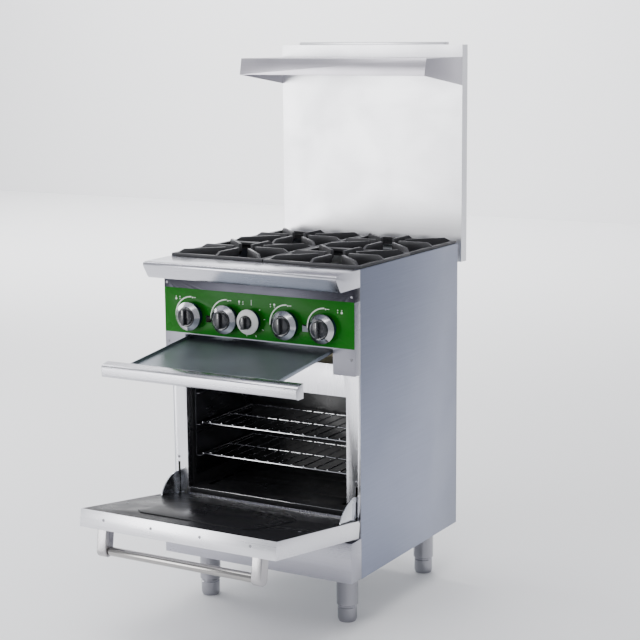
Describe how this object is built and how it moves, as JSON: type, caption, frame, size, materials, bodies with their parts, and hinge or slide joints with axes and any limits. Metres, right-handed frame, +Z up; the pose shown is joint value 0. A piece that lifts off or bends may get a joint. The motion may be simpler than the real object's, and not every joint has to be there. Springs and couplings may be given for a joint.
{
  "type": "commercial gas range",
  "caption": "Free-standing restaurant gas range with open burners under cast grates, a drip tray, a drop-down oven door with wire racks, a flue riser and a high shelf.",
  "frame": {"origin": "on the floor, at the middle of the outline as stored, with the oven door open and the drip tray pulled out", "axes": "+X to the right seen from the front, +Y to the back, +Z up"},
  "size_m": [0.6, 1.0806, 1.5565],
  "materials": {
    "panel_steel": "satin brushed stainless sheet",
    "bright_steel": "bright brushed stainless sheet",
    "galvanised_steel": "galvanised sheet",
    "tray_steel": "dull blue-grey aluminised sheet",
    "leg_steel": "polished tube",
    "handle_metal": "satin cast handle post",
    "handle_steel": "satin tube",
    "zinc_steel": "bright zinc plate",
    "rack_chrome": "chromed wire",
    "plated_guides": "plated sheet, heat-darkened",
    "green_paint": "gloss printed panel",
    "black_enamel": "gloss vitreous enamel",
    "cast_iron": "seasoned cast iron",
    "burner_steel": "heat-tinted burner tube",
    "gas_pipe": "black gas pipe",
    "valve_brass": "machined brass",
    "knob_plastic": "glossy phenolic",
    "knob_chrome": "spun bright bezel",
    "dial_white": "white dial ring",
    "print_white": "screen-printed white marks",
    "mineral_wool": "loose mineral wool"
  },
  "bodies": {
    "range": {"left_side_panel": "panel_steel", "right_side_panel": "panel_steel", "rear_panel": "galvanised_steel", "base_pan": "galvanised_steel", "front_frame": "bright_steel", "kick_panel": "bright_steel", "oven_liner": "black_enamel", "oven_floor": "black_enamel", "rack_guides": "plated_guides", "oven_insulation": "mineral_wool", "oven_burner": "burner_steel", "flue_duct": "galvanised_steel", "control_panel": "bright_steel", "control_fascia": "green_paint", "landing_ledge": "bright_steel", "gas_manifold": "gas_pipe", "burner_valves": "valve_brass", "oven_thermostat": "valve_brass", "oven_gas_pipe": "gas_pipe", "cooktop_frame": "black_enamel", "top_burners": "cast_iron", "burner_heads": "cast_iron", "pilot_burners": "gas_pipe", "flue_riser": "bright_steel", "flue_cap": "bright_steel", "high_shelf": "bright_steel", "legs": "leg_steel", "hinge_brackets": "zinc_steel", "door_springs": "zinc_steel", "body_screws": "zinc_steel", "tray_rails": "galvanised_steel"},
    "door": {"door_outer_panel": "bright_steel", "door_inner_panel": "black_enamel", "door_insulation": "mineral_wool", "hinge_arms": "zinc_steel", "handle_posts": "handle_metal", "handle_bar": "handle_steel", "door_screws": "zinc_steel"},
    "tray": {"drip_tray": "tray_steel", "tray_front": "bright_steel"},
    "lower_rack": {"lower_rack": "rack_chrome"},
    "upper_rack": {"upper_rack": "rack_chrome"},
    "oven_knob": {"oven_knob": "knob_plastic", "oven_stem": "valve_brass"},
    "knob_1": {"burner_knob_1": "knob_plastic", "burner_stem_1": "valve_brass"},
    "knob_2": {"burner_knob_2": "knob_plastic", "burner_stem_2": "valve_brass"},
    "knob_3": {"burner_knob_3": "knob_plastic", "burner_stem_3": "valve_brass"},
    "knob_4": {"burner_knob_4": "knob_plastic", "burner_stem_4": "valve_brass"},
    "front_left_grate": {"front_left_grate": "cast_iron"},
    "front_left_foot": {"front_left_foot": "leg_steel"},
    "front_right_grate": {"front_right_grate": "cast_iron"},
    "front_right_foot": {"front_right_foot": "leg_steel"},
    "rear_left_grate": {"rear_left_grate": "cast_iron"},
    "rear_left_foot": {"rear_left_foot": "leg_steel"},
    "rear_right_grate": {"rear_right_grate": "cast_iron"},
    "rear_right_foot": {"rear_right_foot": "leg_steel"}
  },
  "joints": [
    {"name": "oven_door_hinge", "type": "hinge", "parent": "range", "child": "door", "pos_m": [0, -0.12975, 0.29], "axis": [-1, 0, 0], "range_deg": [0, 81.8], "deforming": ["door_springs"]},
    {"name": "drip_tray_slide", "type": "slide", "parent": "range", "child": "tray", "axis": [0, 0.994, 0.1097], "range_m": [0, 0.262]},
    {"name": "lower_rack_slide", "type": "slide", "parent": "range", "child": "lower_rack", "axis": [0, 1, 0], "range_m": [-0.2, 0]},
    {"name": "upper_rack_slide", "type": "slide", "parent": "range", "child": "upper_rack", "axis": [0, 1, 0], "range_m": [-0.2, 0]},
    {"name": "oven_knob_turn", "type": "hinge", "parent": "range", "child": "oven_knob", "pos_m": [-0.017, -0.13675, 0.826], "axis": [0, -1, 0], "range_deg": [0, 270]},
    {"name": "knob_1_turn", "type": "hinge", "parent": "range", "child": "knob_1", "pos_m": [-0.21, -0.13675, 0.826], "axis": [0, -1, 0], "range_deg": [0, 90]},
    {"name": "knob_2_turn", "type": "hinge", "parent": "range", "child": "knob_2", "pos_m": [-0.0945, -0.13675, 0.826], "axis": [0, -1, 0], "range_deg": [0, 90]},
    {"name": "knob_3_turn", "type": "hinge", "parent": "range", "child": "knob_3", "pos_m": [0.0945, -0.13675, 0.826], "axis": [0, -1, 0], "range_deg": [0, 90]},
    {"name": "knob_4_turn", "type": "hinge", "parent": "range", "child": "knob_4", "pos_m": [0.21, -0.13675, 0.826], "axis": [0, -1, 0], "range_deg": [0, 90]},
    {"name": "front_left_grate_lift", "type": "slide", "parent": "range", "child": "front_left_grate", "axis": [0, 0, 1], "range_m": [0, 0.15]},
    {"name": "front_right_grate_lift", "type": "slide", "parent": "range", "child": "front_right_grate", "axis": [0, 0, 1], "range_m": [0, 0.15]},
    {"name": "rear_left_grate_lift", "type": "slide", "parent": "range", "child": "rear_left_grate", "axis": [0, 0, 1], "range_m": [0, 0.15]},
    {"name": "rear_right_grate_lift", "type": "slide", "parent": "range", "child": "rear_right_grate", "axis": [0, 0, 1], "range_m": [0, 0.15]},
    {"name": "front_left_foot_screw", "type": "slide", "parent": "range", "child": "front_left_foot", "axis": [0, 0, -1], "range_m": [0, 0.03]},
    {"name": "front_right_foot_screw", "type": "slide", "parent": "range", "child": "front_right_foot", "axis": [0, 0, -1], "range_m": [0, 0.03]},
    {"name": "rear_left_foot_screw", "type": "slide", "parent": "range", "child": "rear_left_foot", "axis": [0, 0, -1], "range_m": [0, 0.03]},
    {"name": "rear_right_foot_screw", "type": "slide", "parent": "range", "child": "rear_right_foot", "axis": [0, 0, -1], "range_m": [0, 0.03]}
  ]
}
